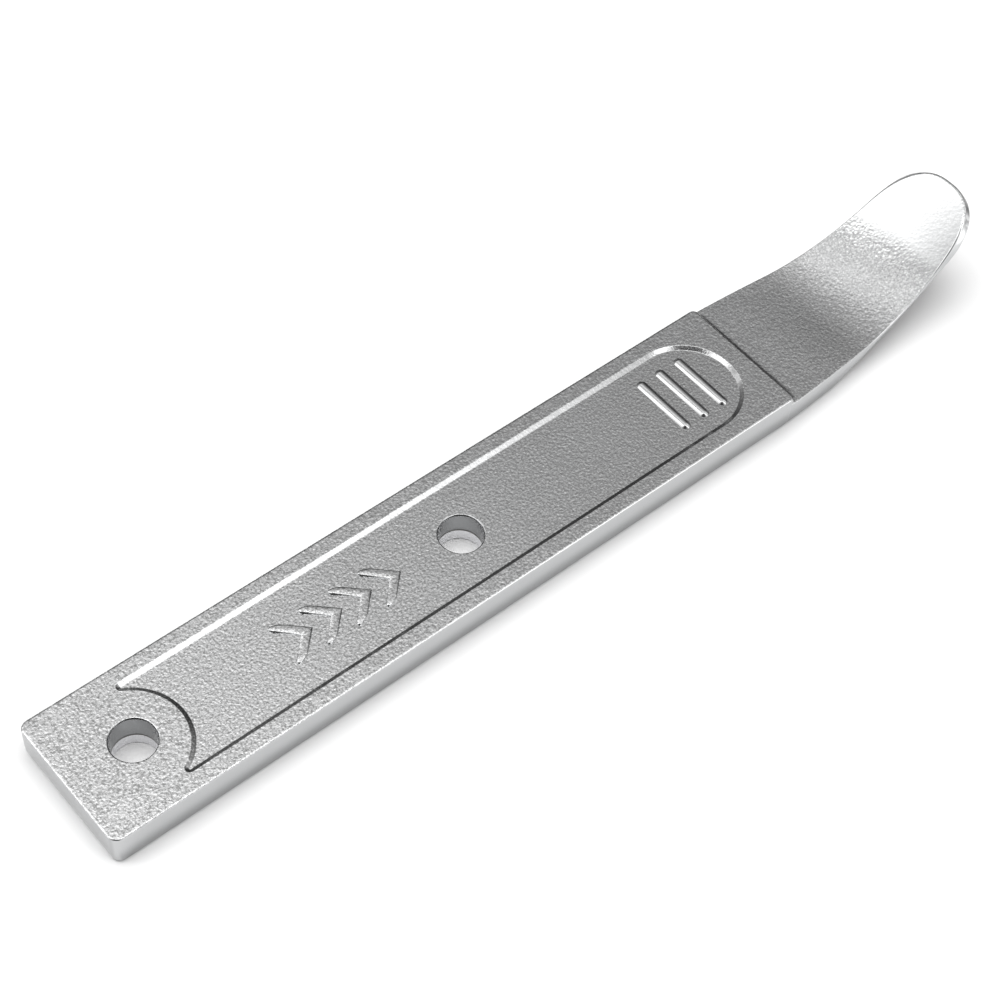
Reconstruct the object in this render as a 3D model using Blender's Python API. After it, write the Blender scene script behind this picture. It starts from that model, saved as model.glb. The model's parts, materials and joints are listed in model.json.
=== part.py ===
"""Tyre lever: one drop-forged steel bar with a flat handle and an upturned spoon.

Metres, +Z up. +X runs from the hanging end of the handle to the tip of the spoon, the lever
lies on its flat underside at z = 0, and the origin is under the middle of its length.
"""

from math import atan2, cos, hypot, pi, radians, sin, sqrt

import bmesh
import bpy
from mathutils import Vector

# Handle
HANDLE_LENGTH = 0.1620  # hanging end to shoulder
HANDLE_WIDTH = 0.0300
HANDLE_THICKNESS = 0.0082
END_CORNER = 0.0020  # plan radius of the two corners at the hanging end
SHOULDER_CORNER = 0.0014  # plan radius of the two corners at the shoulder
TOP_EDGE = 0.0004  # radius worked on every upper edge
PARTING_HEIGHT = 0.0038  # of the parting line round the flanks, above the underside
LOWER_DRAFT = 0.0007  # how far the side draws in from the parting line to the underside

# Spoon
SHOULDER_STEP = 0.0018  # drop from the handle's top to the spoon's top
SPOON_RELIEF = 0.00005  # the spoon is this much smaller than the handle all round
SPOON_FLAT = 0.0190  # level run after the shoulder
BEND_RADIUS = 0.0440  # of the upper surface
BEND_ANGLE = radians(35.0)
TIP_RUN = 0.0146  # straight run after the bend
TAPERED_WIDTH = 0.0185  # width the taper aims at by the tip
TAPER_POWER = 1.28
NOSE_LENGTH = 0.0135  # length of the rounded nose, along the surface
NOSE_POWER = 2.6
TIP_THICKNESS = 0.0032
THINNING_START = 0.0130  # the underside starts to rise here
THINNING_END = 0.0400
SPOON_EDGE = 0.0002  # radius on the spoon's upper edge
BEVEL_FLANK = 0.0004  # upright edge left where the long sides are bevelled underneath
BEVEL_REACH = 0.0044  # how far that bevel reaches in
BEVEL_POWER = 1.5
BEVEL_STOP = 0.0100  # the bevel has faded out by this far from the tip

# Sunk panel
PANEL_MARGIN = 0.0035  # land left along each long side
PANEL_DEPTH = 0.0006
PANEL_WALL_RUN = 0.00085  # plan width of the sloping wall
PANEL_END_LAND = 0.0046  # land between the panel's round end and the shoulder
CRESCENT_FROM_END = 0.0131  # centre of the crescent at the hanging end of the panel
HORN_REACH = 0.00055  # the crescent's radius falls this far short of the panel's half width
HORN_ROUND = 0.0010

# Holes
HOLE_DIAMETER = 0.0088
HANGING_HOLE_FROM_END = 0.0142
MIDDLE_HOLE_FROM_END = 0.0880

# Raised ribs
RIB_COUNT = 3
RIB_WIDTH = 0.0022
RIB_HEIGHT = 0.0006
RIB_PITCH = 0.0050
RIB_END_GAP = 0.0041  # from a rib's end to the panel's long side
LAST_RIB_TO_END = 0.0076  # last rib's centre to the round end of the panel

# Raised chevrons
CHEVRON_COUNT = 4
CHEVRON_STROKE = 0.0018
CHEVRON_HEIGHT = 0.00055
CHEVRON_PITCH = 0.0068
CHEVRON_ADVANCE = 0.0040  # from the arm ends to the apex, on the centre line
CHEVRON_SPAN = 0.0078  # between the arm ends, on the centre line
LAST_CHEVRON_TO_HOLE = 0.0157  # last apex to the middle hole's centre

SINK = 0.0006  # how far raised features reach below the floor they stand on
OVERCUT = 0.0010  # how far cutters run past the faces they open

# Derived
half_width = HANDLE_WIDTH / 2
spoon_top = HANDLE_THICKNESS - SHOULDER_STEP
spoon_length = SPOON_FLAT + BEND_RADIUS * BEND_ANGLE + TIP_RUN
spoon_reach = SPOON_FLAT + BEND_RADIUS * sin(BEND_ANGLE) + TIP_RUN * cos(BEND_ANGLE)
panel_half = half_width - PANEL_MARGIN
panel_floor = HANDLE_THICKNESS - PANEL_DEPTH
crescent_radius = panel_half - HORN_REACH
rib_length = 2 * (panel_half - RIB_END_GAP)

def spoon_outline(run):
    """Half width of the spoon at a distance along its upper surface."""
    root = half_width - SPOON_RELIEF
    half = root - (root - TAPERED_WIDTH / 2) * (max(run, 0) / spoon_length) ** TAPER_POWER
    nose = max((run - spoon_length + NOSE_LENGTH) / NOSE_LENGTH, 0)
    return half * max(1 - nose**NOSE_POWER, 0) ** (1 / NOSE_POWER)


def spoon_edge(run):
    """(inset, depth) pairs round the spoon's edge, from its upper to its lower surface."""
    thinned = min(max((run - THINNING_START) / (THINNING_END - THINNING_START), 0), 1)
    root = spoon_top - SPOON_RELIEF
    thick = TIP_THICKNESS + (root - TIP_THICKNESS) * 0.5 * (1 + cos(pi * thinned))
    bevelled = spoon_length - BEVEL_STOP - THINNING_START
    along = min(max((run - THINNING_START) / bevelled, 0), 1)
    bevel = sin(pi * along) ** BEVEL_POWER
    plain_flank = thick * (spoon_top - PARTING_HEIGHT) / spoon_top
    flank = plain_flank + (BEVEL_FLANK - plain_flank) * bevel
    reach = LOWER_DRAFT + (BEVEL_REACH - LOWER_DRAFT) * bevel
    quarter = [0.5 * pi * i / 6 for i in range(7)]
    upper = [
        (SPOON_EDGE * (1 - cos(a)), SPOON_EDGE * (1 - sin(a))) for a in (0.5 * pi, 0.25 * pi, 0)
    ]
    return upper + [
        (reach * (1 - cos(a)), flank + (thick - flank) * sin(a)) for a in quarter
    ]


# Places along X, from the overall length: the nose leans out past the upper surface's end
nose_overhang = max(
    depth * sin(BEND_ANGLE) - inset * cos(BEND_ANGLE) for inset, depth in spoon_edge(spoon_length)
)
x_end = -(HANDLE_LENGTH + spoon_reach + nose_overhang) / 2
x_shoulder = x_end + HANDLE_LENGTH
x_panel_end = x_shoulder - PANEL_END_LAND
x_crescent = x_end + CRESCENT_FROM_END
x_hanging_hole = x_end + HANGING_HOLE_FROM_END
x_middle_hole = x_end + MIDDLE_HOLE_FROM_END
x_last_rib = x_panel_end - LAST_RIB_TO_END
x_last_apex = x_middle_hole - LAST_CHEVRON_TO_HOLE

for stale in list(bpy.data.objects):
    bpy.data.objects.remove(stale, do_unlink=True)


def steel():
    material = bpy.data.materials.new("bright_chrome_on_steel")
    material.use_nodes = True
    shader = material.node_tree.nodes["Principled BSDF"]
    shader.inputs["Base Color"].default_value = (0.60, 0.61, 0.62, 1.0)
    shader.inputs["Metallic"].default_value = 1.0
    shader.inputs["Roughness"].default_value = 0.22
    material.diffuse_color = (0.60, 0.61, 0.62, 1.0)
    return material


def closed_loft(name, rings, paired_end=False):
    """A closed solid through rings of equal length, with a flat cap on the first and the last.

    A paired end is closed by a strip between the ring's first half and its second, reversed.
    """
    bm = bmesh.new()
    rows = [[bm.verts.new(point) for point in ring] for ring in rings]
    for low, high in zip(rows, rows[1:]):
        for i in range(len(low)):
            j = (i + 1) % len(low)
            bm.faces.new((low[i], low[j], high[j], high[i]))
    bm.faces.new(rows[0][::-1])
    if paired_end:
        last = rows[-1]
        for i in range(len(last) // 2 - 1):
            bm.faces.new((last[i], last[i + 1], last[-2 - i], last[-1 - i]))
    else:
        bm.faces.new(rows[-1])
    bmesh.ops.remove_doubles(bm, verts=bm.verts, dist=1e-7)
    bmesh.ops.recalc_face_normals(bm, faces=bm.faces)
    mesh = bpy.data.meshes.new(name)
    bm.to_mesh(mesh)
    bm.free()
    solid = bpy.data.objects.new(name, mesh)
    bpy.context.scene.collection.objects.link(solid)
    return solid


def arc(centre, radius, start, stop, steps, turned=1):
    """Points on an arc, each with the outward direction of the outline it belongs to."""
    found = []
    for i in range(steps + 1):
        angle = start + (stop - start) * i / steps
        ray = Vector((cos(angle), sin(angle)))
        found.append((Vector(centre) + radius * ray, ray * turned))
    return found


def offset(outline, distance):
    return [point + outward * distance for point, outward in outline]


def stack(name, outline, levels):
    """A loft of one outline, offset by a distance at each height."""
    return closed_loft(
        name, [[(*point, z) for point in offset(outline, distance)] for distance, z in levels]
    )


def rounded_bar(x0, x1, half, radius0, radius1, steps):
    """Plan outline of a bar along X with its own corner radius at each end."""
    return (
        arc((x0 + radius0, radius0 - half), radius0, pi, 1.5 * pi, steps)
        + arc((x1 - radius1, radius1 - half), radius1, 1.5 * pi, 2 * pi, steps)
        + arc((x1 - radius1, half - radius1), radius1, 0, 0.5 * pi, steps)
        + arc((x0 + radius0, half - radius0), radius0, 0.5 * pi, pi, steps)
    )


def side_levels(top, draft, parting, edge, steps):
    """(offset, height) pairs up a flank: drawn-in lower part, upright part, rounded top edge."""
    lower = [
        (-draft * (1 - cos(turn)), parting * (1 - sin(turn)))
        for turn in (0.5 * pi * (1 - i / steps) for i in range(steps + 1))
    ]
    upper = [
        (-edge * (1 - cos(turn)), top - edge * (1 - sin(turn)))
        for turn in (0.5 * pi * i / 3 for i in range(4))
    ]
    return lower + upper


def handle():
    outline = rounded_bar(
        x_end, x_shoulder, half_width, END_CORNER, SHOULDER_CORNER, steps=6
    )
    return stack(
        "lever_forging",
        outline,
        side_levels(HANDLE_THICKNESS, LOWER_DRAFT, PARTING_HEIGHT, TOP_EDGE, steps=6),
    )


def on_spoon(run, y, depth):
    """A point at a depth under the spoon's upper surface."""
    turn = min(max((run - SPOON_FLAT) / BEND_RADIUS, 0), BEND_ANGLE)
    straight = max(run - SPOON_FLAT - BEND_RADIUS * BEND_ANGLE, 0)
    x = x_shoulder + min(run, SPOON_FLAT) + BEND_RADIUS * sin(turn) + straight * cos(turn)
    z = spoon_top + BEND_RADIUS * (1 - cos(turn)) + straight * sin(turn)
    return (x + depth * sin(turn), y, z - depth * cos(turn))


def spoon_section(run):
    """Cross-section of the spoon, each point moved in square to the outline."""
    step = 1e-7
    half = spoon_outline(run)
    narrowing = (spoon_outline(run - step) - spoon_outline(run + step)) / (2 * step)
    length = hypot(1, narrowing)
    side = [
        (run - inset * narrowing / length, half - inset / length, depth)
        for inset, depth in spoon_edge(run)
    ]
    left = [on_spoon(along, y, depth) for along, y, depth in side]
    right = [on_spoon(along, -y, depth) for along, y, depth in side]
    return left + right[::-1]


def spoon():
    bend = BEND_RADIUS * BEND_ANGLE
    nose = spoon_length - NOSE_LENGTH
    runs = [-0.012, 0, 0.5 * THINNING_START, THINNING_START]
    runs += [SPOON_FLAT + bend * i / 10 for i in range(-2, 11)]
    runs = [run for run in runs if run < nose - 0.0002]
    runs += [nose + NOSE_LENGTH * sin(0.5 * pi * i / 15) for i in range(15)]
    runs.append(spoon_length - 2e-6)
    return closed_loft("spoon_blank", [spoon_section(run) for run in runs], paired_end=True)


def panel_outline():
    """Upper rim of the sunk panel: long sides, round end, and a crescent about the hanging hole."""
    round_centre = x_panel_end - panel_half
    horn_y = panel_half - HORN_ROUND
    horn_x = x_crescent + sqrt((crescent_radius + HORN_ROUND) ** 2 - horn_y**2)
    lean = atan2(horn_y, horn_x - x_crescent)
    return (
        arc((round_centre, 0), panel_half, -0.5 * pi, 0.5 * pi, 24)
        + arc((horn_x, horn_y), HORN_ROUND, 0.5 * pi, lean + pi, 6)
        + arc((x_crescent, 0), crescent_radius, lean, -lean, 20, turned=-1)
        + arc((horn_x, -horn_y), HORN_ROUND, pi - lean, 1.5 * pi, 6)
    )


def panel():
    slope = PANEL_WALL_RUN / PANEL_DEPTH
    return stack(
        "panel_cutter",
        panel_outline(),
        [(-PANEL_WALL_RUN, panel_floor), (OVERCUT * slope, HANDLE_THICKNESS + OVERCUT)],
    )


def hole(name, x):
    rim = arc((x, 0), HOLE_DIAMETER / 2, 0, 2 * pi, 40)[:-1]
    return stack(name, rim, [(0, -OVERCUT), (0, HANDLE_THICKNESS + OVERCUT)])


def raised_levels(height, width):
    """(offset, height) pairs of a raised bead: sloping flank and a rounded shoulder."""
    shoulder = 0.25 * width
    return [(0, panel_floor - SINK)] + [
        (-shoulder * (1 - cos(a)) - 0.05 * width, panel_floor + height - shoulder * (1 - sin(a)))
        for a in (0, 0.25 * pi, 0.5 * pi)
    ]


def rib(name, x):
    outline = rounded_bar(
        -rib_length / 2,
        rib_length / 2,
        RIB_WIDTH / 2,
        RIB_WIDTH / 2 - 1e-6,
        RIB_WIDTH / 2 - 1e-6,
        steps=4,
    )
    across = [(Vector((x - p.y, p.x)), Vector((-n.y, n.x))) for p, n in outline]
    return stack(name, across, raised_levels(RIB_HEIGHT, RIB_WIDTH))


def chevron(name, x_apex):
    """A raised V pointing along +X, with round arm ends and a round outer apex."""
    r = CHEVRON_STROKE / 2
    lean = atan2(CHEVRON_SPAN / 2, CHEVRON_ADVANCE)
    out = 0.5 * pi - lean
    low = (x_apex - CHEVRON_ADVANCE, -CHEVRON_SPAN / 2)
    high = (x_apex - CHEVRON_ADVANCE, CHEVRON_SPAN / 2)
    notch = x_apex - r / sin(lean)
    inner = (Vector((notch, 0)), Vector((-1 / sin(lean), 0)))
    return stack(
        name,
        arc((x_apex, 0), r, -out, out, 6)
        + arc(high, r, out, out + pi, 6)
        + [inner]
        + arc(low, r, pi - out, 2 * pi - out, 6),
        raised_levels(CHEVRON_HEIGHT, CHEVRON_STROKE),
    )


def join(body, tool, operation):
    modifier = body.modifiers.new(tool.name, "BOOLEAN")
    modifier.operation = operation
    modifier.solver = "EXACT"
    modifier.object = tool
    tool.hide_render = True
    tool.display_type = "WIRE"


lever = handle()
lever.data.materials.append(steel())
join(lever, spoon(), "UNION")
join(lever, panel(), "DIFFERENCE")
join(lever, hole("hanging_hole_cutter", x_hanging_hole), "DIFFERENCE")
join(lever, hole("middle_hole_cutter", x_middle_hole), "DIFFERENCE")
for i in range(RIB_COUNT):
    join(lever, rib(f"rib_{i + 1}_blank", x_last_rib - i * RIB_PITCH), "UNION")
for i in range(CHEVRON_COUNT):
    join(lever, chevron(f"chevron_{i + 1}_blank", x_last_apex - i * CHEVRON_PITCH), "UNION")
lever.data.shade_smooth()
lever.data.set_sharp_from_angle(angle=radians(28))
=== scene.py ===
"""Tyre lever: the fine meshes, the plated finish and a plain studio, built round the packed part.

The lever is one forging. Its body is stitched from loops of points, and the raised ribs and
arrows on its sunk panel come from one Geometry Nodes tree. Run it as a script.
"""

import json
from math import atan2, cos, hypot, pi, radians, sin, sqrt, tan

import bmesh
import bpy
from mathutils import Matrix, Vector


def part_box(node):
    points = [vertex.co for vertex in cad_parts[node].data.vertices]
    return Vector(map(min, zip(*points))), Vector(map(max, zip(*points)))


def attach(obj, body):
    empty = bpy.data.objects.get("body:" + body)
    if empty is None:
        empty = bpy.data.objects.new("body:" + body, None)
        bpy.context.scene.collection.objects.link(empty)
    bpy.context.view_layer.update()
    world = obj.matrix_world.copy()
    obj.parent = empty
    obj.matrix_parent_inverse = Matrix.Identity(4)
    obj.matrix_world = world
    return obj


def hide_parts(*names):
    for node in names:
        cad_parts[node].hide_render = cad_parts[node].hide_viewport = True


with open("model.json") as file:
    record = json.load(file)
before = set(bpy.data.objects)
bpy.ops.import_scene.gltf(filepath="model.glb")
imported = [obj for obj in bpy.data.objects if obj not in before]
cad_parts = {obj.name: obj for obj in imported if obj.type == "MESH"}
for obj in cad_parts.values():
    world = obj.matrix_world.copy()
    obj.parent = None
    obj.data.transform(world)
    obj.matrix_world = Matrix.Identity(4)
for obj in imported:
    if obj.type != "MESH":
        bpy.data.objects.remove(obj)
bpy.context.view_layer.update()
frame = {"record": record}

bl_info = {
    "name": "Tyre lever",
    "version": (1, 0, 0),
    "blender": (4, 5, 0),
    "location": "View3D > Sidebar > Tyre lever",
    "description": "Builds a forged, plated tyre lever and a plain studio round it",
    "category": "Object",
}

NODE = "lever_forging"
BODY = "root"

low_corner, high_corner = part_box(NODE)
hole_centres = {
    opening["name"]: 0.5 * (opening["box_m"][0][0] + opening["box_m"][1][0])
    for opening in frame["record"]["physics"]["openings"]
}


# ---------------------------------------------------------------- sizes and colours


def length(name, default, description):
    return bpy.props.FloatProperty(
        name=name,
        description=description,
        default=default,
        min=0.0,
        precision=5,
        subtype="DISTANCE",
        unit="LENGTH",
    )


def number(name, default, description, subtype="NONE"):
    return bpy.props.FloatProperty(
        name=name, description=description, default=default, precision=4, subtype=subtype
    )


def colour(name, default, description):
    return bpy.props.FloatVectorProperty(
        name=name,
        description=description,
        default=default,
        size=3,
        min=0.0,
        soft_max=1.0,
        subtype="COLOR",
    )


class HandleSizes(bpy.types.PropertyGroup):
    """The flat bar of the handle, its sunk panel and its two holes."""

    width: length("Width", high_corner.y - low_corner.y, "Across the handle")
    reach: length("Length", 0.1620, "From the hanging end to the shoulder")
    thickness: length("Thickness", 0.0082, "From the underside to the land round the panel")
    end_corner: length("End corner", 0.0020, "Plan radius of the corners at the hanging end")
    shoulder_corner: length("Shoulder corner", 0.0014, "Plan radius of the corners at the shoulder")
    top_edge: length("Top edge", 0.0004, "Radius on the upper edges of the near side and the end")
    far_edge: length("Far edge", 0.0007, "Radius on the upper edge of the far side")
    shoulder_edge: length("Shoulder edge", 0.0008, "Radius on the upper edge of the shoulder")
    parting: length("Parting height", 0.0038, "Height of the dies' parting line round the flanks")
    draft: length("Lower draft", 0.0007, "How far the flank draws in below the parting line")
    panel_margin: length("Panel margin", 0.0035, "Land left along each long side of the panel")
    panel_depth: length("Panel depth", 0.0006, "How far the panel's floor lies below the land")
    panel_run: length("Panel wall", 0.00085, "Plan width of the panel's sloping wall")
    panel_end_land: length("Panel end land", 0.0046, "From the panel's round end to the shoulder")
    panel_lip: length("Panel lip", 0.0003, "Radius where the land turns down into the panel")
    panel_foot: length("Panel foot", 0.0003, "Radius where the wall meets the panel's floor")
    crescent: length("Crescent", 0.0131, "Centre of the crescent, from the hanging end")
    horn_reach: length("Horn reach", 0.00055, "Panel's half width less the crescent's radius")
    horn_round: length("Horn round", 0.0010, "Radius of the panel's two horns")
    hole: length("Hole", 0.0088, "Diameter of both through holes")
    hole_rim: length("Hole rim", 0.00035, "Radius worked round each hole's mouth")


class SpoonSizes(bpy.types.PropertyGroup):
    """The thin upturned end."""

    step: length("Shoulder step", 0.0018, "From the handle's top down to the spoon's top")
    relief: length("Relief", 0.00005, "How much smaller the spoon is than the handle all round")
    flat: length("Level run", 0.0190, "Level stretch after the shoulder")
    bend_radius: length("Bend radius", 0.0440, "Of the upper surface")
    bend_angle: number("Bend angle", radians(35.0), "How far the tip is turned up", "ANGLE")
    tip_run: length("Tip run", 0.0146, "Straight stretch after the bend")
    tapered: length("Tapered width", 0.0185, "Width that the taper aims at by the tip")
    taper_power: number("Taper power", 1.28, "Above 1, the taper quickens towards the tip")
    nose: length("Nose", 0.0135, "Length of the rounded nose along the surface")
    nose_power: number("Nose power", 2.6, "2 is an ellipse, and more is squarer")
    tip_thickness: length("Tip thickness", 0.0032, "Of the blade at the nose")
    thin_start: length("Thinning start", 0.0130, "Where the underside starts to rise")
    thin_end: length("Thinning end", 0.0400, "Where the blade reaches the tip's thickness")
    edge: length("Upper edge", 0.00015, "Radius on the upper edge of the long sides")
    nose_edge: length("Nose edge", 0.0006, "Radius on the upper edge round the nose")
    nose_flare: length("Nose flare", 0.0008, "How far the nose widens below its upper edge")
    bevel_flank: length("Bevel flank", 0.0004, "Upright edge left above the lower bevel")
    bevel_reach: length("Bevel reach", 0.0044, "How far the lower bevel reaches in")
    bevel_power: number("Bevel power", 1.5, "Above 1, the bevel fades sooner at its ends")
    bevel_stop: length("Bevel stop", 0.0100, "The bevel has faded out by this far from the tip")
    root_fillet: length("Root fillet", 0.0015, "Radius of the hollow at the foot of the shoulder")
    dish_radius: length("Dish radius", 0.1500, "Radius of the shallow hollow across the blade")
    dish_start: length("Dish start", 0.0090, "Where the hollow starts")
    dish_full: length("Dish full", 0.0300, "Where the hollow is full")


class RaisedSizes(bpy.types.PropertyGroup):
    """The ribs and the arrows that stand on the panel's floor."""

    rib_count: bpy.props.IntProperty(name="Ribs", description="Number of ribs", default=3, min=1)
    rib_width: length("Rib width", 0.0022, "Across one rib")
    rib_height: length("Rib height", 0.0006, "Above the panel's floor")
    rib_pitch: length("Rib pitch", 0.0050, "From rib to rib")
    rib_end_gap: length("Rib end gap", 0.0041, "From a rib's end to the panel's long side")
    rib_to_end: length("Ribs to end", 0.0076, "Last rib's centre to the panel's round end")
    arrow_count: bpy.props.IntProperty(
        name="Arrows", description="Number of arrows", default=4, min=1
    )
    arrow_stroke: length("Arrow stroke", 0.0018, "Width of an arrow's arm")
    arrow_height: length("Arrow height", 0.0005, "Above the panel's floor")
    arrow_pitch: length("Arrow pitch", 0.0068, "From arrow to arrow")
    arrow_advance: length("Arrow advance", 0.0040, "From the arm ends to the apex")
    arrow_span: length("Arrow span", 0.0078, "Between the arm ends")
    arrow_to_hole: length("Arrows to hole", 0.0157, "Last apex to the middle hole's centre")


class FinishLook(bpy.types.PropertyGroup):
    """The bright plating over the forging's pebbled skin, and the painted highlights and painted
    shade on it.
    """

    plating: colour("Plating", (0.605, 0.61, 0.615), "Colour of the plating face on")
    # painted highlight: the level faces at the hanging end are painted brighter, as a reflection of
    # the studio's bright side
    end_highlight: colour("Bright plating", (0.90, 0.905, 0.91), "Colour at the hanging end")
    plating_dull: colour("Dull plating", (0.53, 0.53, 0.53), "Colour where the plating is thinner")
    # pit shade and glints are painted shade and painted highlights, as random specks over the
    # pebbled skin
    pit_shade: colour("Pits", (0.34, 0.34, 0.335), "Colour between the pebbles")
    painted_glints: colour("Glints", (0.95, 0.95, 0.95), "Colour on the tops of the pebbles")
    # painted shade on the slopes that face the tip or the far side
    slope_shade: colour("Dull slopes", (0.12, 0.12, 0.12), "Colour of slopes to the tip or far side")
    # the flanks' colour is darker than the plating's, as painted shade
    flank: colour("Flank", (0.50, 0.505, 0.51), "Colour of the smooth flanks")
    # painted shade on the flank feet, the lower bevels and the ends
    low_shade: colour("Lower flank", (0.30, 0.305, 0.31), "Colour of the flanks' lower half")
    # painted light in the holes: painted shade up the wall and a painted reflection of the lit
    # floor at the foot, with a dark ring between
    bore: colour("Bore", (0.28, 0.285, 0.29), "Colour of the holes' drilled walls")
    bore_floor_reflection: colour("Bore foot", (0.85, 0.85, 0.87), "Colour of the holes' lowest part")
    bore_ring: colour("Bore ring", (0.08, 0.075, 0.07), "Colour of the dark ring in the holes")
    pebble: length("Pebble", 0.00072, "Distance from pebble to pebble on the skin")
    pebble_height: length("Pebble height", 0.00006, "Height of the pebbles")
    skin_roughness: number("Skin roughness", 0.19, "Of the pebbled faces", "FACTOR")
    flank_roughness: number("Flank roughness", 0.13, "Of the smooth flanks and rims", "FACTOR")


class StageLook(bpy.types.PropertyGroup):
    """The floor, the studio light and the camera."""

    floor: colour("Floor", (0.84, 0.84, 0.84), "Colour of the floor")
    overhead: number("Overhead strength", 1.9, "Brightness of the broad light on the floor")
    overhead_spread: number("Overhead spread", radians(50.0), "How broad that light is", "ANGLE")
    overhead_from: bpy.props.FloatVectorProperty(
        name="Overhead from",
        description="Direction that the broad light comes from",
        default=(-0.05, 0.05, 1.0),
        size=3,
        subtype="DIRECTION",
    )
    floor_radius: length("Floor radius", 4.0, "Of the round floor")
    sky: number("Sky strength", 1.0, "Brightness of the studio all round")
    camera_place: bpy.props.FloatVectorProperty(
        name="Camera",
        description="Where the camera stands",
        default=(-0.19315, -0.18686, 0.34972),
        size=3,
        precision=5,
        subtype="TRANSLATION",
        unit="LENGTH",
    )
    camera_turn: bpy.props.FloatVectorProperty(
        name="Camera turn",
        description="The camera's rotation",
        default=(radians(37.3465), radians(-3.1531), radians(-39.9432)),
        size=3,
        subtype="EULER",
        unit="ROTATION",
    )
    lens: bpy.props.FloatProperty(
        name="Lens", description="Focal length, in millimetres", default=81.458, unit="CAMERA"
    )


GROUPS = {
    "lever_handle": HandleSizes,
    "lever_spoon": SpoonSizes,
    "lever_raised": RaisedSizes,
    "lever_finish": FinishLook,
    "lever_stage": StageLook,
}


# ---------------------------------------------------------------- outlines and shells


def arc(centre, radius, start, stop, steps, turned=1):
    """Points on an arc, each with the outward direction of the outline it belongs to."""
    found = []
    for i in range(steps + 1):
        angle = start + (stop - start) * i / steps
        ray = Vector((cos(angle), sin(angle)))
        found.append((Vector(centre) + radius * ray, ray * turned))
    return found


def circle(x, radius, steps=72):
    return arc((x, 0), radius, 0, 2 * pi, steps)[:-1]


def turns(start, stop, steps):
    return [start + (stop - start) * i / steps for i in range(steps + 1)]


# Points closer than this, in metres, are one point.
SAME_PLACE = 1e-7


class Shell:
    """A closed mesh stitched from loops of vertices."""

    def __init__(self):
        self.bm = bmesh.new()

    def loop(self, points):
        return [self.bm.verts.new(point) for point in points]

    def band(self, one, other):
        for i in range(len(one)):
            j = (i + 1) % len(one)
            self.bm.faces.new((one[i], one[j], other[j], other[i]))

    def tube(self, rings):
        loops = [self.loop(ring) for ring in rings]
        for one, other in zip(loops, loops[1:]):
            self.band(one, other)
        return loops[0], loops[-1]

    def stack(self, outline, levels):
        """Bands of one outline, offset by a distance at each height."""
        return self.tube(
            [[(*(point + out * distance), z) for point, out in outline] for distance, z in levels]
        )

    def fill(self, *loops):
        """A flat face between an outer loop and the loops inside it."""
        edges = [
            self.bm.edges.get((loop[i - 1], loop[i])) for loop in loops for i in range(len(loop))
        ]
        bmesh.ops.triangle_fill(self.bm, edges=edges, use_beauty=True)

    def finish(self, name):
        bmesh.ops.remove_doubles(self.bm, verts=self.bm.verts, dist=SAME_PLACE)
        bmesh.ops.recalc_face_normals(self.bm, faces=self.bm.faces)
        mesh = bpy.data.meshes.new(name)
        self.bm.to_mesh(mesh)
        self.bm.free()
        solid = bpy.data.objects.new(name, mesh)
        bpy.context.scene.collection.objects.link(solid)
        return solid


def bake(piece):
    """The piece as its modifiers leave it, as a plain mesh with none."""
    graph = bpy.context.evaluated_depsgraph_get()
    mesh = bpy.data.meshes.new_from_object(piece.evaluated_get(graph))
    old = piece.data
    piece.modifiers.clear()
    piece.data = mesh
    mesh.name = piece.name
    if old.users == 0:
        bpy.data.meshes.remove(old)
    return piece


def hand_over(piece, material=None):
    """Gives a finished piece its material and its body, and hides the part that it stands for."""
    if material:
        piece.data.materials.clear()
        piece.data.materials.append(material)
    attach(piece, BODY)
    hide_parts(NODE)


# ---------------------------------------------------------------- the forging


def places():
    """Where the lever's features lie, from the frame and the sizes."""
    handle = bpy.context.scene.lever_handle
    shoulder = low_corner.x + handle.reach
    panel_half = handle.width / 2 - handle.panel_margin
    return {
        "end": low_corner.x,
        "shoulder": shoulder,
        "panel_end": shoulder - handle.panel_end_land,
        "panel_half": panel_half,
        "panel_floor": handle.thickness - handle.panel_depth,
        "hanging_hole": hole_centres["hanging_hole"],
        "middle_hole": hole_centres["middle_hole"],
    }


def bar_outline(x0, x1, half, radius0, radius1, steps):
    return (
        arc((x0 + radius0, radius0 - half), radius0, pi, 1.5 * pi, steps)
        + arc((x1 - radius1, radius1 - half), radius1, 1.5 * pi, 2 * pi, steps)
        + arc((x1 - radius1, half - radius1), radius1, 0, 0.5 * pi, steps)
        + arc((x0 + radius0, half - radius0), radius0, 0.5 * pi, pi, steps)
    )


def panel_outline(handle, at):
    """Upper rim of the sunk panel: long sides, round end, crescent round the hanging hole."""
    half = at["panel_half"]
    radius = half - handle.horn_reach
    centre = at["end"] + handle.crescent
    horn_y = half - handle.horn_round
    horn_x = centre + sqrt((radius + handle.horn_round) ** 2 - horn_y**2)
    lean = atan2(horn_y, horn_x - centre)
    return (
        arc((at["panel_end"] - half, 0), half, -0.5 * pi, 0.5 * pi, 72)
        + arc((horn_x, horn_y), handle.horn_round, 0.5 * pi, lean + pi, 14)
        + arc((centre, 0), radius, lean, -lean, 56, turned=-1)
        + arc((horn_x, -horn_y), handle.horn_round, pi - lean, 1.5 * pi, 14)
    )


def flank_levels(handle, radius):
    """(offset, height) pairs up the flank: drawn-in foot, upright part and rounded top edge."""
    foot = [
        (-handle.draft * (1 - cos(turn)), handle.parting * (1 - sin(turn)))
        for turn in turns(0.5 * pi, 0, 12)
    ]
    edge = [
        (-radius * (1 - cos(turn)), handle.thickness - radius * (1 - sin(turn)))
        for turn in turns(0, 0.5 * pi, 8)
    ]
    return foot + edge


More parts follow.
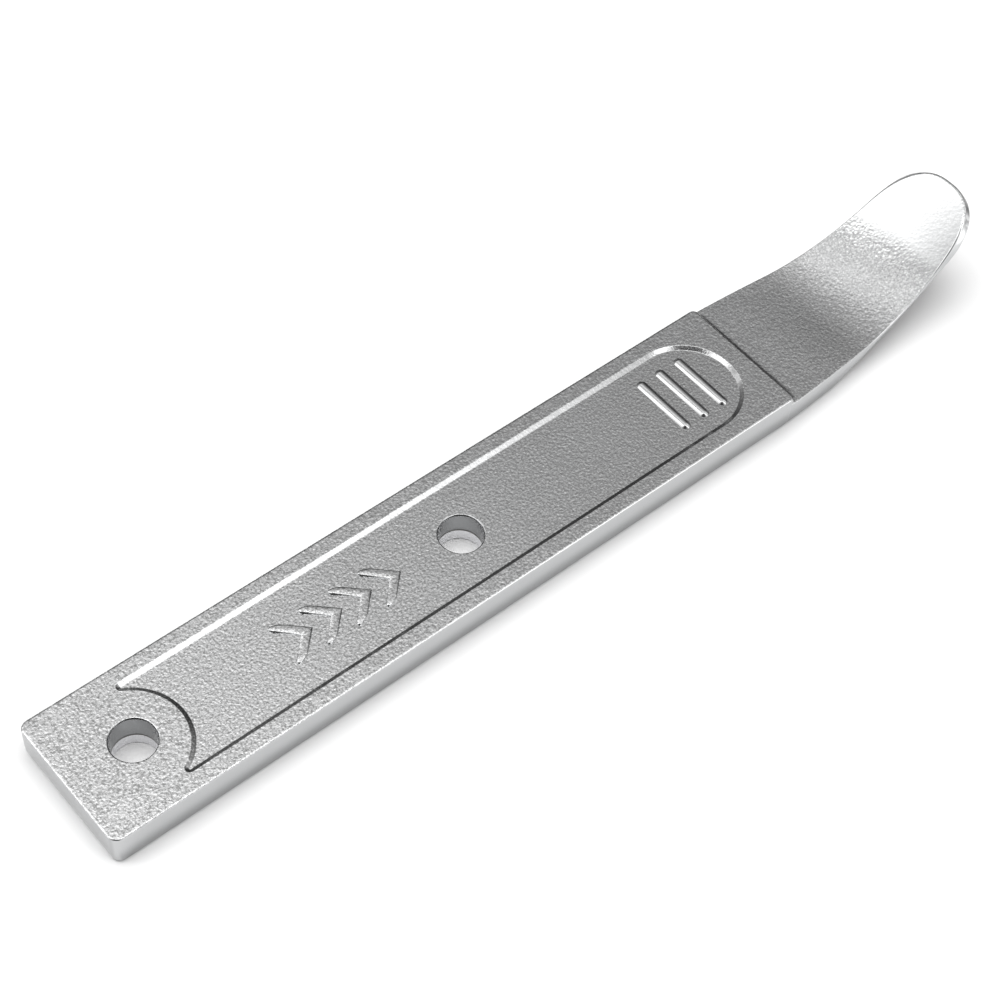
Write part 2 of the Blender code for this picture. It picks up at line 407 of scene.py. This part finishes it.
def flank_rings(handle, outline):
    """Rings up the flank. The top edge is rounder on the far side and over the shoulder."""
    sides = []
    for _, out in outline:
        radius = handle.top_edge
        radius += (handle.far_edge - handle.top_edge) * max(out.y, 0) ** 2
        radius += (handle.shoulder_edge - handle.top_edge) * max(out.x, 0) ** 2
        sides.append(flank_levels(handle, radius))
    return [
        [(*(point + out * distance), z) for (point, out), (distance, z) in zip(outline, level)]
        for level in zip(*sides)
    ]


def wall_levels(handle, floor):
    """(offset, height) pairs down the panel's wall: rounded lip, slope and rounded foot."""
    slope = atan2(handle.panel_depth, handle.panel_run)
    lip = handle.panel_lip
    foot = handle.panel_foot
    upper = [
        (lip * (tan(slope / 2) - sin(turn)), handle.thickness - lip * (1 - cos(turn)))
        for turn in turns(0, slope, 5)
    ]
    lower = [
        (-handle.panel_run - foot * (tan(slope / 2) - sin(turn)), floor + foot * (1 - cos(turn)))
        for turn in turns(slope, 0, 5)
    ]
    return upper + lower


def hole_levels(rim, top):
    """(offset, height) pairs up a hole with a rounded mouth at both faces."""
    lower = [(rim * (1 - sin(turn)), rim * (1 - cos(turn))) for turn in turns(0, 0.5 * pi, 4)]
    upper = [
        (rim * (1 - cos(turn)), top - rim * (1 - sin(turn))) for turn in turns(0, 0.5 * pi, 4)
    ]
    return lower + upper


def handle_shell(handle, at):
    half = handle.width / 2
    shell = Shell()
    bar = bar_outline(
        at["end"], at["shoulder"], half, handle.end_corner, handle.shoulder_corner, steps=14
    )
    underside, land = shell.tube(flank_rings(handle, bar))
    rim, floor = shell.stack(panel_outline(handle, at), wall_levels(handle, at["panel_floor"]))
    radius = handle.hole / 2
    hanging_foot, hanging_mouth = shell.stack(
        circle(at["hanging_hole"], radius), hole_levels(handle.hole_rim, handle.thickness)
    )
    middle_foot, middle_mouth = shell.stack(
        circle(at["middle_hole"], radius), hole_levels(handle.hole_rim, at["panel_floor"])
    )
    shell.fill(land, rim, hanging_mouth)
    shell.fill(floor, middle_mouth)
    shell.fill(underside, hanging_foot, middle_foot)
    return shell.finish("lever_body")


# How far the blank of the spoon runs on into the handle, so that the two join.
ROOT_OVERLAP = 0.012

# Angle between faces, past which an edge is shaded as sharp.
SHARP_ANGLE = radians(40)


class Blade:
    """The rule for the spoon's shape, by distance along its upper surface."""

    def __init__(self, handle, spoon, shoulder):
        self.handle = handle
        self.spoon = spoon
        self.shoulder = shoulder
        self.bend = spoon.bend_radius * spoon.bend_angle
        self.top = handle.thickness - spoon.step
        self.length = spoon.flat + self.bend + spoon.tip_run

    def half(self, run):
        spoon = self.spoon
        root = self.handle.width / 2 - spoon.relief
        half = root - (root - spoon.tapered / 2) * (max(run, 0) / self.length) ** spoon.taper_power
        nose = max((run - self.length + spoon.nose) / spoon.nose, 0)
        return half * max(1 - nose**spoon.nose_power, 0) ** (1 / spoon.nose_power)

    def point(self, run, y, depth):
        """A point at a depth under the upper surface."""
        spoon = self.spoon
        turn = min(max((run - spoon.flat) / spoon.bend_radius, 0), spoon.bend_angle)
        straight = max(run - spoon.flat - self.bend, 0)
        x = self.shoulder + min(run, spoon.flat)
        x += spoon.bend_radius * sin(turn) + straight * cos(turn)
        z = self.top + spoon.bend_radius * (1 - cos(turn)) + straight * sin(turn)
        return (x + depth * sin(turn), y, z - depth * cos(turn))

    def edge(self, run, sideways):
        """(inset, depth) pairs round the blade's edge, from its upper to its lower face.

        The flare fades as the edge turns from sideways to the tip, where it would add length.
        """
        spoon = self.spoon
        thinned = min(max((run - spoon.thin_start) / (spoon.thin_end - spoon.thin_start), 0), 1)
        root = self.top - spoon.relief
        thick = spoon.tip_thickness + (root - spoon.tip_thickness) * 0.5 * (1 + cos(pi * thinned))
        bevelled = self.length - spoon.bevel_stop - spoon.thin_start
        along = min(max((run - spoon.thin_start) / bevelled, 0), 1)
        bevel = sin(pi * along) ** spoon.bevel_power
        plain = thick * (self.top - self.handle.parting) / self.top
        flank = plain + (spoon.bevel_flank - plain) * bevel
        reach = self.handle.draft + (spoon.bevel_reach - self.handle.draft) * bevel
        nose = min(max((run - self.length + 1.3 * spoon.nose) / spoon.nose, 0), 1)
        edge = spoon.edge + (spoon.nose_edge - spoon.edge) * nose
        upper = [(edge * (1 - cos(turn)), edge * (1 - sin(turn))) for turn in turns(0.5 * pi, 0, 5)]
        flare = spoon.nose_flare * nose * sideways**2
        lower = [
            (reach * (1 - cos(turn)) - flare * cos(turn), flank + (thick - flank) * sin(turn))
            for turn in turns(0, 0.5 * pi, 12)
        ]
        return upper + lower

    def lift(self, run):
        """How far the hollow at the shoulder's foot raises the upper surface."""
        radius = self.spoon.root_fillet
        if run < 0:
            return 0
        gap = max(radius - run, 0)
        return 0.8 * (radius - sqrt(radius * radius - gap * gap))

    def dish(self, run, y, half):
        spoon = self.spoon
        share = min(max((run - spoon.dish_start) / (spoon.dish_full - spoon.dish_start), 0), 1)
        share = share * share * (3 - 2 * share)
        return share * (half * half - y * y) / (2 * spoon.dish_radius)

    def section(self, run):
        """Points across the blade, in three parts: left edge, upper face and right edge.

        Each edge point moves in square to the outline. The hollow at the shoulder's foot fades
        out at the sides, where there is no shoulder above it.
        """
        step = 1e-7
        narrowing = (self.half(run - step) - self.half(run + step)) / (2 * step)
        size = hypot(1, narrowing)
        side = [
            (run - inset * narrowing / size, self.half(run) - inset / size, depth)
            for inset, depth in self.edge(run, sideways=1 / size)
        ]
        start, inner, _ = side[0]
        across = [inner * cos(turn) for turn in turns(pi, 0, 20)][1:-1]
        lift = self.lift(run)
        top = [
            self.point(start, y, self.dish(start, y, inner) - lift * (1 - (y / inner) ** 8))
            for y in across
        ]
        right = [self.point(along, y, depth) for along, y, depth in side]
        left = [self.point(along, -y, depth) for along, y, depth in side]
        return left[::-1], top, right

    def runs(self):
        nose = self.length - self.spoon.nose
        steps = 64
        fillet = self.spoon.root_fillet
        found = [-ROOT_OVERLAP, -0.001, 0]
        found += [fillet * (1 - cos(turn)) for turn in turns(0, 0.5 * pi, 8)[1:]]
        found += [fillet + (nose - fillet) * i / steps for i in range(1, steps)]
        found += [nose + self.spoon.nose * sin(turn) for turn in turns(0, 0.5 * pi, 30)[:-1]]
        return found + [self.length - 1e-5]


def spoon_shell(handle, spoon, at):
    blade = Blade(handle, spoon, at["shoulder"])
    shell = Shell()
    parts = [blade.section(run) for run in blade.runs()]
    first, last = shell.tube([left + top + right for left, top, right in parts])
    shell.bm.faces.new(first[::-1])
    low, high = 0, len(last) - 1
    while high - low > 2:
        shell.bm.faces.new((last[low], last[low + 1], last[high - 1], last[high]))
        low, high = low + 1, high - 1
    shell.bm.faces.new(last[low : high + 1])
    return shell.finish("spoon")


def mark_bores(body, handle, at):
    """A value of 1 on the holes' walls and 0 elsewhere, which the finish reads."""
    reach = handle.hole / 2 + 0.5 * handle.hole_rim
    centres = [Vector((at[hole], 0)) for hole in ("hanging_hole", "middle_hole")]
    bore = body.data.attributes.new("bore", "FLOAT", "POINT")
    for vertex, value in zip(body.data.vertices, bore.data):
        value.value = any((vertex.co.xy - centre).length < reach for centre in centres)


class LEVER_OT_forging(bpy.types.Operator):
    """Builds the forged lever: handle, sunk panel, holes and spoon"""

    bl_idname = "lever.forging"
    bl_label = "Forging"

    def execute(self, context):
        handle = context.scene.lever_handle
        at = places()
        body = handle_shell(handle, at)
        blade = spoon_shell(handle, context.scene.lever_spoon, at)
        union = body.modifiers.new("spoon", "BOOLEAN")
        union.operation = "UNION"
        union.solver = "EXACT"
        union.object = blade
        bake(body)
        bpy.data.objects.remove(blade)
        body.data.shade_smooth()
        body.data.set_sharp_from_angle(angle=SHARP_ANGLE)
        even = body.modifiers.new("even_normals", "WEIGHTED_NORMAL")
        even.keep_sharp = True
        even.weight = 100
        bake(body)
        mark_bores(body, handle, at)
        hand_over(body, plated_steel(context.scene.lever_finish))
        return {"FINISHED"}


# ---------------------------------------------------------------- raised ribs and arrows


# A ball is cut at its middle and pulled apart into a bar. This is how sharp the cut is.
BAR_SPLIT = 20

# Below 1, a bar has a flat top and steep sides. Above 1, it has a narrow ridge.
RIB_CROWN = 1.8
ARROW_CROWN = 0.35

# The ribs are nearly smooth, because their tops are rubbed. 1 is the full pebbled skin.
RIB_SKIN = 0.15


def raised_bars_tree():
    """Geometry Nodes: a row of round-ended bars, leaned back into arrows or left straight."""
    tree = bpy.data.node_groups.new("raised_bars", "GeometryNodeTree")
    face = tree.interface

    def entry(name, kind, **settings):
        socket = face.new_socket(name, in_out="INPUT", socket_type=kind)
        for key, value in settings.items():
            setattr(socket, key, value)

    face.new_socket("Bars", in_out="OUTPUT", socket_type="NodeSocketGeometry")
    entry("Count", "NodeSocketInt", default_value=3, min_value=1)
    for name in ("First X", "Pitch", "Floor", "Width", "Length", "Height"):
        entry(name, "NodeSocketFloat", subtype="DISTANCE")
    entry("Crown", "NodeSocketFloat", default_value=0.5)
    entry("Lean", "NodeSocketFloat", default_value=0.0)
    entry("Finish", "NodeSocketMaterial")

    nodes = Nodes(tree)
    given = nodes.add("NodeGroupInput").outputs
    ball = nodes.add("GeometryNodeMeshUVSphere", {"Segments": 48, "Rings": 26, "Radius": 1.0})
    position = nodes.add("GeometryNodeInputPosition").outputs[0]
    place = nodes.add("ShaderNodeSeparateXYZ", {"Vector": position})
    # the ball's poles lie on Z, so X and Y give the plan and Z the height
    x, y, z = (Value(nodes, place.outputs[i]) for i in range(3))
    width, span = Value(nodes, given["Width"]), Value(nodes, given["Length"])
    side = (y * BAR_SPLIT).clamped(-1, 1)
    along = y * (width * 0.5) + side * ((span - width) * 0.5)
    rise = z.sign() * (z.abs() ** Value(nodes, given["Crown"])) * Value(nodes, given["Height"])
    sideways = x * (width * 0.5) - along.abs() * Value(nodes, given["Lean"])
    moved = nodes.add("ShaderNodeCombineXYZ", {"X": sideways, "Y": along, "Z": rise})
    bar = nodes.add(
        "GeometryNodeSetPosition", {"Geometry": ball.outputs[0], "Position": moved.outputs[0]}
    )
    step = nodes.add("ShaderNodeCombineXYZ", {"X": given["Pitch"]})
    start = nodes.add("ShaderNodeCombineXYZ", {"X": given["First X"], "Z": given["Floor"]})
    row = nodes.add(
        "GeometryNodeMeshLine",
        {"Count": given["Count"], "Start Location": start.outputs[0], "Offset": step.outputs[0]},
        mode="OFFSET",
    )
    copies = nodes.add(
        "GeometryNodeInstanceOnPoints", {"Points": row.outputs[0], "Instance": bar.outputs[0]}
    )
    real = nodes.add("GeometryNodeRealizeInstances", {"Geometry": copies.outputs[0]})
    smooth = nodes.add("GeometryNodeSetShadeSmooth", {"Geometry": real.outputs[0]})
    coated = nodes.add(
        "GeometryNodeSetMaterial", {"Geometry": smooth.outputs[0], "Material": given["Finish"]}
    )
    nodes.add("NodeGroupOutput", {"Bars": coated.outputs[0]})
    return tree


def raised_bars(name, **values):
    """A finished piece from the raised bars tree, with its inputs set by name."""
    tree = bpy.data.node_groups.get("raised_bars") or raised_bars_tree()
    piece = bpy.data.objects.new(name, bpy.data.meshes.new(name))
    bpy.context.scene.collection.objects.link(piece)
    modifier = piece.modifiers.new("raised_bars", "NODES")
    modifier.node_group = tree
    for socket in tree.interface.items_tree:
        if socket.in_out == "INPUT" and socket.name in values:
            modifier[socket.identifier] = values[socket.name]
    bake(piece)
    hand_over(piece)
    return piece


class LEVER_OT_ribs(bpy.types.Operator):
    """Builds the row of slim ribs across the panel"""

    bl_idname = "lever.ribs"
    bl_label = "Grip ribs"

    def execute(self, context):
        raised = context.scene.lever_raised
        at = places()
        raised_bars(
            "grip_ribs",
            **{
                "Count": raised.rib_count,
                "First X": at["panel_end"] - raised.rib_to_end,
                "Pitch": -raised.rib_pitch,
                "Floor": at["panel_floor"],
                "Width": raised.rib_width,
                "Length": 2 * (at["panel_half"] - raised.rib_end_gap),
                "Height": raised.rib_height,
                "Crown": RIB_CROWN,
                "Lean": 0.0,
                "Finish": plated_steel(context.scene.lever_finish, "plated_ribs", RIB_SKIN),
            },
        )
        return {"FINISHED"}


class LEVER_OT_arrows(bpy.types.Operator):
    """Builds the row of raised arrows that point to the spoon"""

    bl_idname = "lever.arrows"
    bl_label = "Raised arrows"

    def execute(self, context):
        raised = context.scene.lever_raised
        at = places()
        lean = 2 * raised.arrow_advance / raised.arrow_span
        raised_bars(
            "raised_arrows",
            **{
                "Count": raised.arrow_count,
                "First X": at["middle_hole"] - raised.arrow_to_hole,
                "Pitch": -raised.arrow_pitch,
                "Floor": at["panel_floor"],
                "Width": raised.arrow_stroke * hypot(1, lean),
                "Length": raised.arrow_span + raised.arrow_stroke,
                "Height": raised.arrow_height,
                "Crown": ARROW_CROWN,
                "Lean": lean,
                "Finish": plated_steel(context.scene.lever_finish),
            },
        )
        return {"FINISHED"}


# ---------------------------------------------------------------- node trees


class Nodes:
    """Adds nodes to a tree: type, socket values or links, then settings."""

    def __init__(self, tree):
        self.tree = tree

    def add(self, kind, sockets=None, **settings):
        node = self.tree.nodes.new(kind)
        for key, value in settings.items():
            setattr(node, key, value)
        for key, value in (sockets or {}).items():
            self.feed(node.inputs[key], value)
        return node

    def feed(self, socket, value):
        if isinstance(value, Value):
            value = value.socket
        if isinstance(value, bpy.types.NodeSocket):
            self.tree.links.new(value, socket)
        else:
            socket.default_value = value


class Value:
    """A number in a node tree. Sums on it add Math nodes."""

    def __init__(self, nodes, socket):
        self.nodes = nodes
        self.socket = socket

    def math(self, operation, *others, turned=False):
        terms = [self, *others]
        if turned:
            terms.reverse()
        node = self.nodes.add("ShaderNodeMath", dict(enumerate(terms)), operation=operation)
        return Value(self.nodes, node.outputs[0])

    def __add__(self, other):
        return self.math("ADD", other)

    def __sub__(self, other):
        return self.math("SUBTRACT", other)

    def __rsub__(self, other):
        return self.math("SUBTRACT", other, turned=True)

    def __mul__(self, other):
        return self.math("MULTIPLY", other)

    def __pow__(self, other):
        return self.math("POWER", other)

    __radd__ = __add__
    __rmul__ = __mul__

    def abs(self):
        return self.math("ABSOLUTE")

    def sign(self):
        return self.math("SIGN")

    def clamped(self, low, high):
        node = self.nodes.add("ShaderNodeClamp", {"Value": self, "Min": low, "Max": high})
        return Value(self.nodes, node.outputs[0])

    def between(self, low, high):
        """0 below low, 1 above high, and smooth in between."""
        node = self.nodes.add(
            "ShaderNodeMapRange",
            {"Value": self, "From Min": low, "From Max": high},
            interpolation_type="SMOOTHSTEP",
        )
        return Value(self.nodes, node.outputs["Result"])


def mix_colour(nodes, factor, one, other):
    node = nodes.add("ShaderNodeMix", data_type="RGBA")
    nodes.feed(node.inputs[0], factor)
    nodes.feed(node.inputs[6], one)
    nodes.feed(node.inputs[7], other)
    return node.outputs[2]


class Surface:
    """Masks on a piece's surface, from its place and the way that it faces."""

    def __init__(self, nodes):
        self.nodes = nodes
        self.place = nodes.add("ShaderNodeTexCoord").outputs["Object"]
        point = nodes.add("ShaderNodeSeparateXYZ", {"Vector": self.place})
        self.x, _, self.height = (Value(nodes, point.outputs[i]) for i in range(3))
        normal = nodes.add("ShaderNodeNewGeometry").outputs["Normal"]
        facing = nodes.add("ShaderNodeSeparateXYZ", {"Vector": normal})
        self.to_tip, self.to_far_side, self.upward = (
            Value(nodes, facing.outputs[i]) for i in range(3)
        )
        self.level = self.upward.abs()
        # 1 on the faces and slopes that the dies pressed, 0 on the flanks
        self.broad = self.level.between(0.25, 0.45)
        # 1 at the hanging end, 0 from the middle of the handle on
        self.near_end = 1 - self.x.between(-0.080, 0.005)

    def noise(self, cell, detail, roughness=0.5, distortion=0.0):
        node = self.nodes.add(
            "ShaderNodeTexNoise",
            {
                "Vector": self.place,
                "Scale": 1 / cell,
                "Detail": detail,
                "Roughness": roughness,
                "Distortion": distortion,
            },
        )
        return Value(self.nodes, node.outputs["Fac"])

    def pebbled(self):
        """Share of the pebbled skin: full on level faces, weaker on slopes, none on flanks."""
        sloped = 0.15 + self.near_end * 0.35
        return (sloped + (1 - sloped) * self.level.between(0.81, 0.89)) * self.broad

    def lee(self):
        """The slopes that fall to the tip or to the far side, where painted shade goes."""
        turned = self.to_tip.math("MAXIMUM", self.to_far_side)
        return turned.between(0.12, 0.35) * self.broad

    def low(self):
        """The smooth surfaces that see little light and get painted shade: flank feet, lower bevels
        and ends.
        """
        sideways = self.to_far_side.abs().between(0.75, 0.97)
        feet = (1 - self.height.between(0.0008, 0.0056)) * sideways
        bevels = (1 - self.upward.between(-0.45, 0.02)) * 0.85
        ends = self.to_tip.abs().between(0.75, 0.97) * 0.6
        return feet.math("MAXIMUM", bevels).math("MAXIMUM", ends) * (1 - self.broad)


def skin_relief(surface, look, pebbled):
    """The bump's normal: pebbles on the pressed faces and a faint ripple everywhere."""
    nodes = surface.nodes
    cells = nodes.add(
        "ShaderNodeTexVoronoi",
        {"Vector": surface.place, "Scale": 1 / look.pebble, "Smoothness": 0.5},
        feature="SMOOTH_F1",
    )
    grain = surface.noise(0.5 * look.pebble, 1.0, 0.5, 0.2)
    swell = surface.noise(9 * look.pebble, 2.0)
    pebbles = grain * 0.75 - Value(nodes, cells.outputs["Distance"]) * 0.8 + swell * 0.8
    ripple = surface.noise(0.009, 2.0) * 0.10 + surface.noise(0.0012, 1.0) * 0.012
    bump = nodes.add(
        "ShaderNodeBump",
        {"Strength": 1.0, "Distance": look.pebble_height, "Height": pebbles * pebbled + ripple},
    )
    return bump.outputs["Normal"]


def skin_colour(surface, look, pebbled):
    """Plating over pebbles, with a painted highlight at the hanging end, painted glints and pit
    shade in the pebbles, and painted shade in the lee, on the flanks and low down.
    """
    nodes = surface.nodes
    # painted highlight: level faces at the hanging end are painted brighter
    bright = surface.near_end * surface.level.between(0.84, 0.94)
    skin = mix_colour(nodes, bright, (*look.plating, 1), (*look.end_highlight, 1))
    patches = surface.noise(0.022, 3.0).between(0.35, 0.7)
    thin = patches * (1 - surface.near_end) * 0.5
    skin = mix_colour(nodes, thin, skin, (*look.plating_dull, 1))
    # painted shade on the slopes that face away
    skin = mix_colour(nodes, surface.lee() * 0.75, skin, (*look.slope_shade, 1))
    # the flanks get a darker colour: painted shade
    skin = mix_colour(nodes, surface.broad, (*look.flank, 1), skin)
    # random specks of painted shade and painted glints, stronger towards the hanging end
    dots = surface.noise(0.62 * look.pebble, 1.0, 0.6)
    spread = (1.1 - surface.x.between(-0.075, 0.03) * 0.6) * pebbled
    pit_shade = (1 - dots.between(0.36, 0.52)) * spread * 0.6
    painted_glints = dots.between(0.50, 0.68) * spread * 0.8
    skin = mix_colour(nodes, pit_shade, skin, (*look.pit_shade, 1))
    skin = mix_colour(nodes, painted_glints, skin, (*look.painted_glints, 1))
    # painted shade low down on the flanks, on the bevels and on the ends
    return mix_colour(nodes, surface.low(), skin, (*look.low_shade, 1))


def bore_colour(surface, look):
    """Up a hole's wall: a pale foot painted as a reflection of the lit floor, one dark ring, then a
    dark wall painted as shade.
    """
    nodes = surface.nodes
    foot = 1 - surface.height.between(0.0026, 0.0030)
    ring = surface.height.between(0.0026, 0.0029) * (1 - surface.height.between(0.0029, 0.0034))
    wall = mix_colour(nodes, foot, (*look.bore, 1), (*look.bore_floor_reflection, 1))
    return mix_colour(nodes, ring, wall, (*look.bore_ring, 1))


def plated_steel(look, name="plated_steel", skin_depth=1.0):
    """Bright plating: a pebbled forging skin on the broad faces, smooth flanks, and bores with
    painted shade and a painted reflection at their foot.
    """
    material = bpy.data.materials.get(name)
    if material:
        return material
    material = bpy.data.materials.new(name)
    material.use_nodes = True
    nodes = Nodes(material.node_tree)
    shader = material.node_tree.nodes["Principled BSDF"]
    surface = Surface(nodes)
    pebbled = surface.pebbled() * skin_depth
    bore = Value(nodes, nodes.add("ShaderNodeAttribute", attribute_name="bore").outputs["Fac"])
    streaks = surface.noise(0.004, 3.0).between(0.3, 0.8)
    rougher = look.skin_roughness - look.flank_roughness
    skin = skin_colour(surface, look, pebbled)
    wall = bore_colour(surface, look)
    nodes.feed(shader.inputs["Base Color"], mix_colour(nodes, bore, skin, wall))
    nodes.feed(
        shader.inputs["Roughness"],
        look.flank_roughness + streaks * 0.04 + surface.broad * rougher,
    )
    nodes.feed(shader.inputs["Normal"], skin_relief(surface, look, pebbled))
    shader.inputs["Metallic"].default_value = 1.0
    return material


# ---------------------------------------------------------------- the stage


# The studio's brightness by direction: 1 is level and straight away from the camera, and -1
# is level and straight back. The bright spoon mirrors these bands.
AWAY = (0.75, 0.66, 0.0)
STUDIO_BANDS = (
    (-1.0, 0.7),
    (-0.50, 0.9),
    (-0.30, 1.8),
    (-0.16, 3.2),
    (-0.08, 1.85),
    (-0.02, 0.85),
    (0.05, 0.42),
    (0.11, 0.38),
    (0.17, 0.95),
    (0.25, 1.75),
    (0.33, 1.25),
    (0.40, 0.74),
    (0.46, 0.67),
    (0.54, 0.63),
    (0.60, 0.48),
    (0.66, 0.40),
    (0.74, 0.40),
    (0.84, 0.16),
    (1.0, 0.05),
)

# A dark card stands on this side of the lever, and the panel's near wall mirrors it.
CARD_SIDE = (-0.65, -0.76, 0)
CARD_GREY = 0.015
BACKDROP_GREY = 0.9


def studio_bands(nodes, direction):
    """The banded grey of the studio, scaled to 1, and the brightest band."""
    aim = Vector(AWAY).normalized()
    away = nodes.add("ShaderNodeVectorMath", {0: direction, 1: aim}, operation="DOT_PRODUCT")
    away = Value(nodes, away.outputs["Value"])
    ramp = nodes.add("ShaderNodeValToRGB", {"Fac": away * 0.5 + 0.5})
    ramp.color_ramp.interpolation = "B_SPLINE"
    elements = ramp.color_ramp.elements
    while len(elements) > 1:
        elements.remove(elements[-1])
    brightest = max(value for _, value in STUDIO_BANDS)
    for i, (where, value) in enumerate(STUDIO_BANDS):
        element = elements[0] if i == 0 else elements.new(0.5 + 0.5 * where)
        element.position = 0.5 + 0.5 * where
        grey = value / brightest
        element.color = (grey, grey, grey, 1)
    return ramp.outputs["Color"], brightest


def card_mask(nodes, direction):
    """1 where the dark card stands: wide at its foot, narrow at its head, clear straight up."""
    flat = nodes.add("ShaderNodeVectorMath", {0: direction, 1: (1, 1, 0)}, operation="MULTIPLY")
    flat = nodes.add("ShaderNodeVectorMath", {0: flat.outputs[0]}, operation="NORMALIZE")
    beside = nodes.add(
        "ShaderNodeVectorMath", {0: flat.outputs[0], 1: CARD_SIDE}, operation="DOT_PRODUCT"
    )
    beside = Value(nodes, beside.outputs["Value"])
    up = nodes.add("ShaderNodeSeparateXYZ", {"Vector": direction})
    rise = Value(nodes, up.outputs["Z"])
    high = rise.between(0.62, 0.72)
    foot = (beside.between(0.82, 0.88) * 0.4 + beside.between(0.32, 0.70) * 0.6) * (1 - high)
    head = beside.between(0.66, 0.78) * high * (1 - rise.between(0.93, 0.98))
    return foot + head


def studio_world(strength):
    """A pale room in soft bands with one dark card. The camera itself sees a plain backdrop."""
    world = bpy.data.worlds.new("studio")
    bpy.context.scene.world = world
    world.use_nodes = True
    nodes = Nodes(world.node_tree)
    direction = nodes.add("ShaderNodeTexCoord").outputs["Generated"]
    bands, brightest = studio_bands(nodes, direction)
    dark = (CARD_GREY, CARD_GREY, CARD_GREY, 1)
    dimmed = mix_colour(nodes, card_mask(nodes, direction), bands, dark)
    studio = nodes.add("ShaderNodeBackground", {"Color": dimmed, "Strength": brightest * strength})
    plain = (BACKDROP_GREY, BACKDROP_GREY, BACKDROP_GREY, 1)
    backdrop = nodes.add("ShaderNodeBackground", {"Color": plain, "Strength": 1.0})
    ray = nodes.add("ShaderNodeLightPath")
    seen = nodes.add("ShaderNodeMixShader", {0: ray.outputs["Is Camera Ray"]})
    nodes.feed(seen.inputs[1], studio.outputs[0])
    nodes.feed(seen.inputs[2], backdrop.outputs[0])
    output = world.node_tree.nodes["World Output"]
    nodes.feed(output.inputs["Surface"], seen.outputs[0])


def floor(look):
    shell = Shell()
    rim = shell.loop([(*point, 0) for point, _ in circle(0, look.floor_radius)])
    shell.bm.faces.new(rim)
    ground = shell.finish("floor")
    material = bpy.data.materials.new("pale_floor")
    material.use_nodes = True
    shader = material.node_tree.nodes["Principled BSDF"]
    shader.inputs["Base Color"].default_value = (*look.floor, 1)
    shader.inputs["Roughness"].default_value = 0.9
    ground.data.materials.append(material)


def overhead_light(look):
    """A broad light for the floor. The plating doesn't mirror it."""
    data = bpy.data.lights.new("overhead", "SUN")
    data.energy = look.overhead
    data.angle = look.overhead_spread
    light = bpy.data.objects.new("overhead", data)
    light.rotation_euler = Vector(look.overhead_from).to_track_quat("Z", "Y").to_euler()
    light.visible_glossy = False
    bpy.context.scene.collection.objects.link(light)


def studio_camera(look):
    data = bpy.data.cameras.new("camera")
    data.lens = look.lens
    data.clip_start = 0.01
    camera = bpy.data.objects.new("camera", data)
    camera.location = look.camera_place
    camera.rotation_euler = look.camera_turn
    bpy.context.scene.collection.objects.link(camera)
    bpy.context.scene.camera = camera


class LEVER_OT_stage(bpy.types.Operator):
    """Sets the floor, the studio light and the camera"""

    bl_idname = "lever.stage"
    bl_label = "Stage"

    def execute(self, context):
        look = context.scene.lever_stage
        floor(look)
        studio_world(look.sky)
        studio_camera(look)
        overhead_light(look)
        context.scene.view_settings.view_transform = "Standard"
        return {"FINISHED"}


# ---------------------------------------------------------------- add-on


OPERATORS = (LEVER_OT_stage, LEVER_OT_forging, LEVER_OT_ribs, LEVER_OT_arrows)


class LEVER_PT_sidebar(bpy.types.Panel):
    """Lists the lever's pieces and their sizes"""

    bl_idname = "LEVER_PT_sidebar"
    bl_label = "Tyre lever"
    bl_space_type = "VIEW_3D"
    bl_region_type = "UI"
    bl_category = "Tyre lever"

    def draw(self, context):
        for name, group in GROUPS.items():
            box = self.layout.box()
            box.label(text=group.__doc__)
            for size in group.__annotations__:
                box.prop(getattr(context.scene, name), size)
        for operator in OPERATORS:
            self.layout.operator(operator.bl_idname)


def register():
    for name, group in GROUPS.items():
        bpy.utils.register_class(group)
        setattr(bpy.types.Scene, name, bpy.props.PointerProperty(type=group))
    for operator in OPERATORS:
        bpy.utils.register_class(operator)
    bpy.utils.register_class(LEVER_PT_sidebar)


def unregister():
    bpy.utils.unregister_class(LEVER_PT_sidebar)
    for operator in reversed(OPERATORS):
        bpy.utils.unregister_class(operator)
    for name, group in GROUPS.items():
        delattr(bpy.types.Scene, name)
        bpy.utils.unregister_class(group)


def main():
    register()
    bpy.ops.lever.stage()
    bpy.ops.lever.forging()
    bpy.ops.lever.ribs()
    bpy.ops.lever.arrows()


if __name__ == "__main__":
    main()
